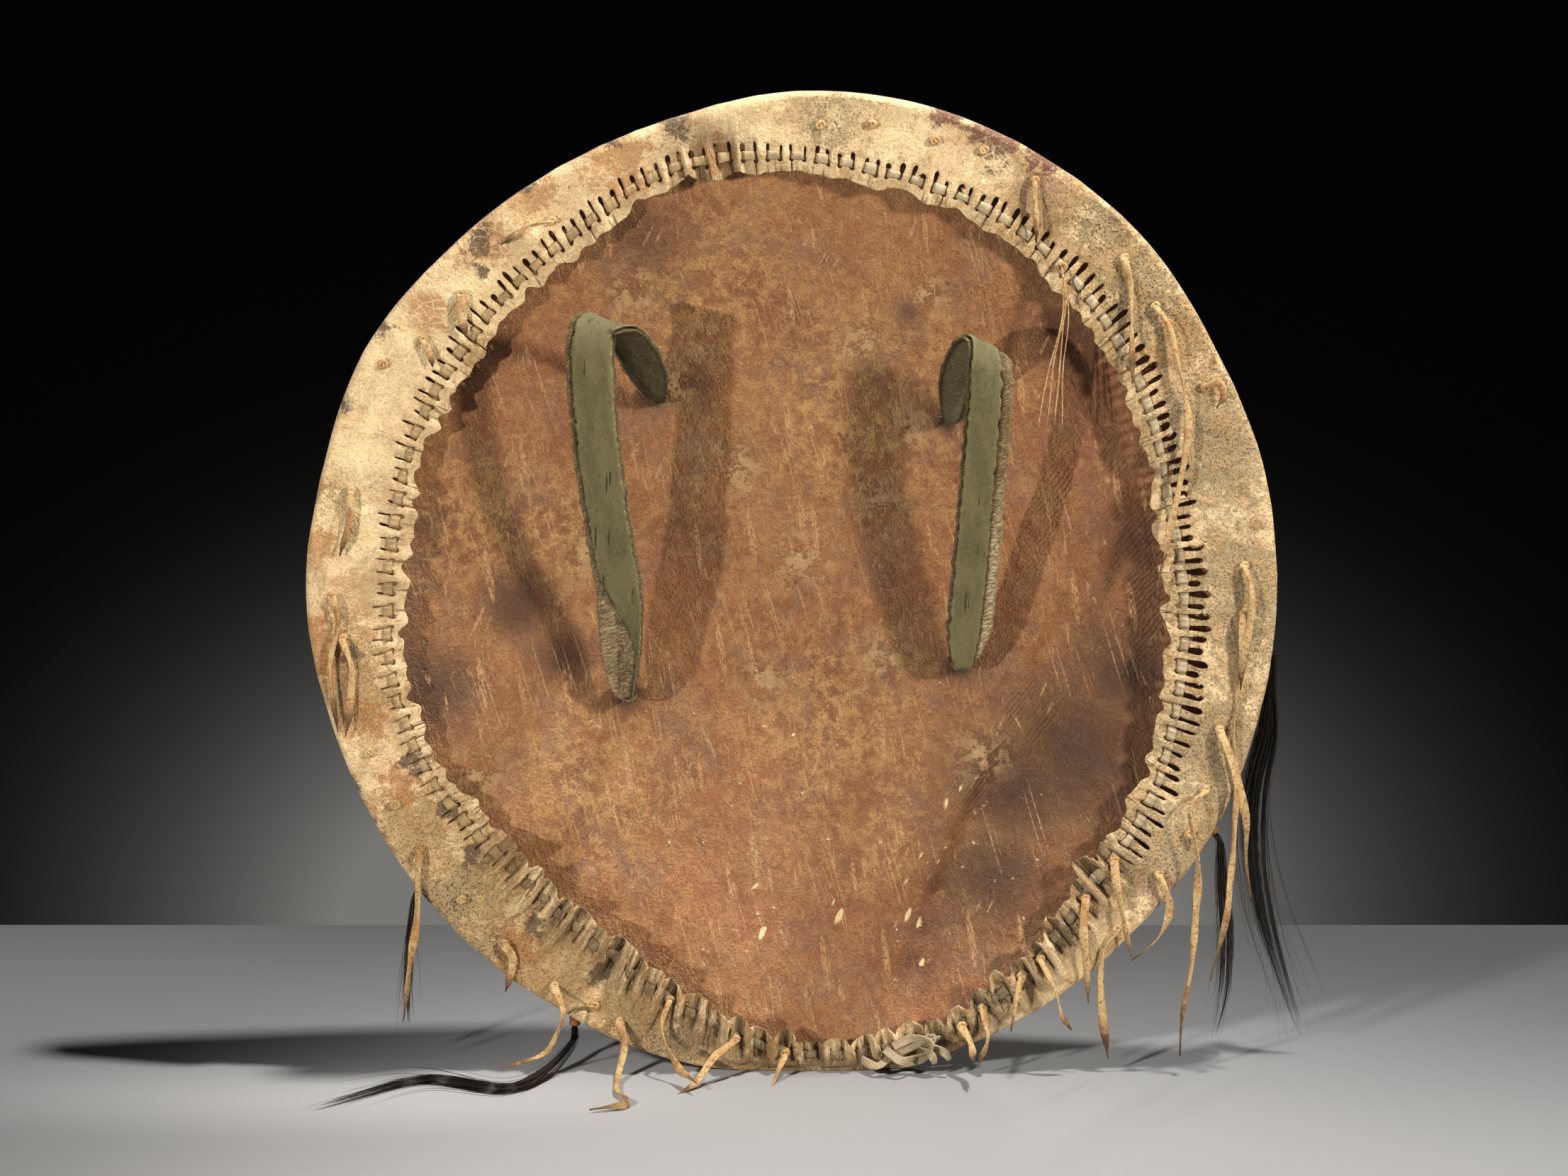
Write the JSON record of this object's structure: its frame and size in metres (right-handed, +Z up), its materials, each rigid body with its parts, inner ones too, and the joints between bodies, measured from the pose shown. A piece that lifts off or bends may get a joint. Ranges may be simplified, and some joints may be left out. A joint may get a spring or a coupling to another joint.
{
  "type": "hide shield",
  "caption": "Round dished rawhide shield seen from its back: gathered hide cover with woven lacing, forearm straps, hanging hide ties and horsehair locks.",
  "frame": {"origin": "middle of the rawhide disc's back face, where the bearer's forearm lies between the two straps", "axes": "+Y from the bearer to the painted front, +X to the right as the bearer sees the back, +Z up"},
  "size_m": [0.5311, 0.1273, 0.5224],
  "materials": {
    "rawhide": "smoked rawhide, mottled and scratched, dull sheen",
    "cover_hide": "soft tanned hide, matt, grained and soiled",
    "thong": "grey-buff hide thong, matt",
    "strap_hide": "old hide with its hair worn off, rough",
    "strap_cloth": "felted olive-green wool, matt",
    "tie": "dried hide strips, buff with dark tips",
    "sinew": "split sinew, faint sheen",
    "binding": "wrapped hide, orange-brown",
    "hair": "black horsehair, silky"
  },
  "bodies": {
    "shield": {"rawhide_disc": "rawhide", "hide_cover": "cover_hide", "lacing_thong": "thong", "lacing_knot": "thong", "left_strap_root_lower": "strap_hide", "left_strap_root_upper": "strap_hide", "right_strap_root_lower": "strap_hide", "right_strap_root_upper": "strap_hide", "tie_right_curl": "tie", "tie_lower_right_stub": "tie", "tie_bottom_left_long": "tie", "tie_bottom_left_side": "tie", "tie_lower_left_trailing": "tie", "tie_left_middle": "tie", "tie_left_joined": "tie", "tie_upper_left_a": "tie", "tie_upper_left_b": "tie", "tie_top_left": "tie", "lace_tie_right_a": "tie", "lace_tie_right_b": "tie", "lace_tie_right_c": "tie", "lace_tie_bottom_right_a": "tie", "lace_tie_bottom_right_b": "tie", "lace_tie_bottom_right_c": "tie", "lace_tie_bottom_a": "tie", "lace_tie_bottom_b": "tie", "lace_tie_bottom_left": "tie", "sinew_strands": "sinew", "rim_knot_1": "tie", "rim_knot_2": "tie", "rim_knot_3": "tie", "rim_knot_4": "tie", "rim_knot_5": "tie", "rim_knot_6": "tie", "rim_knot_7": "tie", "rim_knot_8": "tie", "hair_binding_bottom_left": "binding", "hair_lock_bottom_left": "hair"},
    "left_strap": {"left_strap_hide": "strap_hide", "left_strap_cloth": "strap_cloth"},
    "right_strap": {"right_strap_hide": "strap_hide", "right_strap_cloth": "strap_cloth"},
    "top_right_tie": {"tie_top_right": "tie"},
    "upper_right_short_tie": {"tie_upper_right_short": "tie"},
    "upper_right_long_tie": {"tie_upper_right_long": "tie"},
    "right_upper_tie": {"tie_right_upper": "tie"},
    "right_lower_tie": {"tie_right_lower": "tie"},
    "lower_right_tie_a": {"tie_lower_right_a": "tie"},
    "lower_right_tie_b": {"tie_lower_right_b": "tie"},
    "lower_right_tie_c": {"tie_lower_right_c": "tie"},
    "lower_right_tie_d": {"tie_lower_right_d": "tie"},
    "lower_left_short_tie": {"tie_lower_left_short": "tie"},
    "left_long_tie": {"tie_left_long": "tie"},
    "left_upper_tie": {"tie_left_upper": "tie"},
    "lower_left_hair": {"hair_binding_lower_left": "binding", "hair_lock_lower_left": "hair"},
    "right_hair": {"hair_binding_right": "binding", "hair_lock_right": "hair"},
    "lower_right_hair": {"hair_binding_lower_right": "binding", "hair_lock_lower_right": "hair"}
  },
  "joints": [
    {"name": "left_strap_swing", "type": "hinge", "parent": "shield", "child": "left_strap", "pos_m": [-0.0879, -0.0095, -0.0569], "axis": [0.1107, -0.0142, 0.9938], "range_deg": [-25, 25]},
    {"name": "right_strap_swing", "type": "hinge", "parent": "shield", "child": "right_strap", "pos_m": [0.0899, -0.0088, -0.0401], "axis": [-0.0518, -0.0187, 0.9985], "range_deg": [-25, 25]},
    {"name": "top_right_tie_swing", "type": "hinge", "parent": "shield", "child": "top_right_tie", "pos_m": [0.1243, -0.035, 0.2157], "axis": [0, 1, 0], "range_deg": [-12, 12]},
    {"name": "upper_right_short_tie_swing", "type": "hinge", "parent": "shield", "child": "upper_right_short_tie", "pos_m": [0.1706, -0.035, 0.176], "axis": [0, 1, 0], "range_deg": [-8, 8]},
    {"name": "upper_right_long_tie_swing", "type": "hinge", "parent": "shield", "child": "upper_right_long_tie", "pos_m": [0.1871, -0.035, 0.1512], "axis": [0, 1, 0], "range_deg": [-8, 8]},
    {"name": "right_upper_tie_swing", "type": "hinge", "parent": "shield", "child": "right_upper_tie", "pos_m": [0.2353, -0.035, 0.0154], "axis": [0, 1, 0], "range_deg": [-6, 8]},
    {"name": "right_lower_tie_swing", "type": "hinge", "parent": "shield", "child": "right_lower_tie", "pos_m": [0.2356, -0.035, -0.0096], "axis": [0, 1, 0], "range_deg": [-8, 0.5]},
    {"name": "lower_right_tie_a_swing", "type": "hinge", "parent": "shield", "child": "lower_right_tie_a", "pos_m": [0.224, -0.035, -0.0714], "axis": [0, 1, 0], "range_deg": [-5, 6]},
    {"name": "lower_right_tie_b_swing", "type": "hinge", "parent": "shield", "child": "lower_right_tie_b", "pos_m": [0.2174, -0.035, -0.1038], "axis": [0, 1, 0], "range_deg": [-8, 8]},
    {"name": "lower_right_tie_c_swing", "type": "hinge", "parent": "shield", "child": "lower_right_tie_c", "pos_m": [0.1935, -0.035, -0.1494], "axis": [0, 1, 0], "range_deg": [-8, 6]},
    {"name": "lower_right_tie_d_swing", "type": "hinge", "parent": "shield", "child": "lower_right_tie_d", "pos_m": [0.1719, -0.035, -0.1793], "axis": [0, 1, 0], "range_deg": [-8, 8]},
    {"name": "lower_left_short_tie_swing", "type": "hinge", "parent": "shield", "child": "lower_left_short_tie", "pos_m": [-0.1524, -0.035, -0.1867], "axis": [0, 1, 0], "range_deg": [-12, 12]},
    {"name": "left_long_tie_swing", "type": "hinge", "parent": "shield", "child": "left_long_tie", "pos_m": [-0.196, -0.035, -0.1361], "axis": [0, 1, 0], "range_deg": [-12, 12]},
    {"name": "left_upper_tie_swing", "type": "hinge", "parent": "shield", "child": "left_upper_tie", "pos_m": [-0.2288, -0.035, 0.055], "axis": [0, 1, 0], "range_deg": [-12, 12]},
    {"name": "lower_left_hair_swing", "type": "hinge", "parent": "shield", "child": "lower_left_hair", "pos_m": [-0.194, -0.025, -0.1505], "axis": [0, 1, 0], "range_deg": [-8, 10]},
    {"name": "right_hair_swing", "type": "hinge", "parent": "shield", "child": "right_hair", "pos_m": [0.2452, -0.025, -0.0152], "axis": [0, 1, 0], "range_deg": [-8, 2]},
    {"name": "lower_right_hair_swing", "type": "hinge", "parent": "shield", "child": "lower_right_hair", "pos_m": [0.219, -0.025, -0.1196], "axis": [0, 1, 0], "range_deg": [-8, 8]}
  ]
}
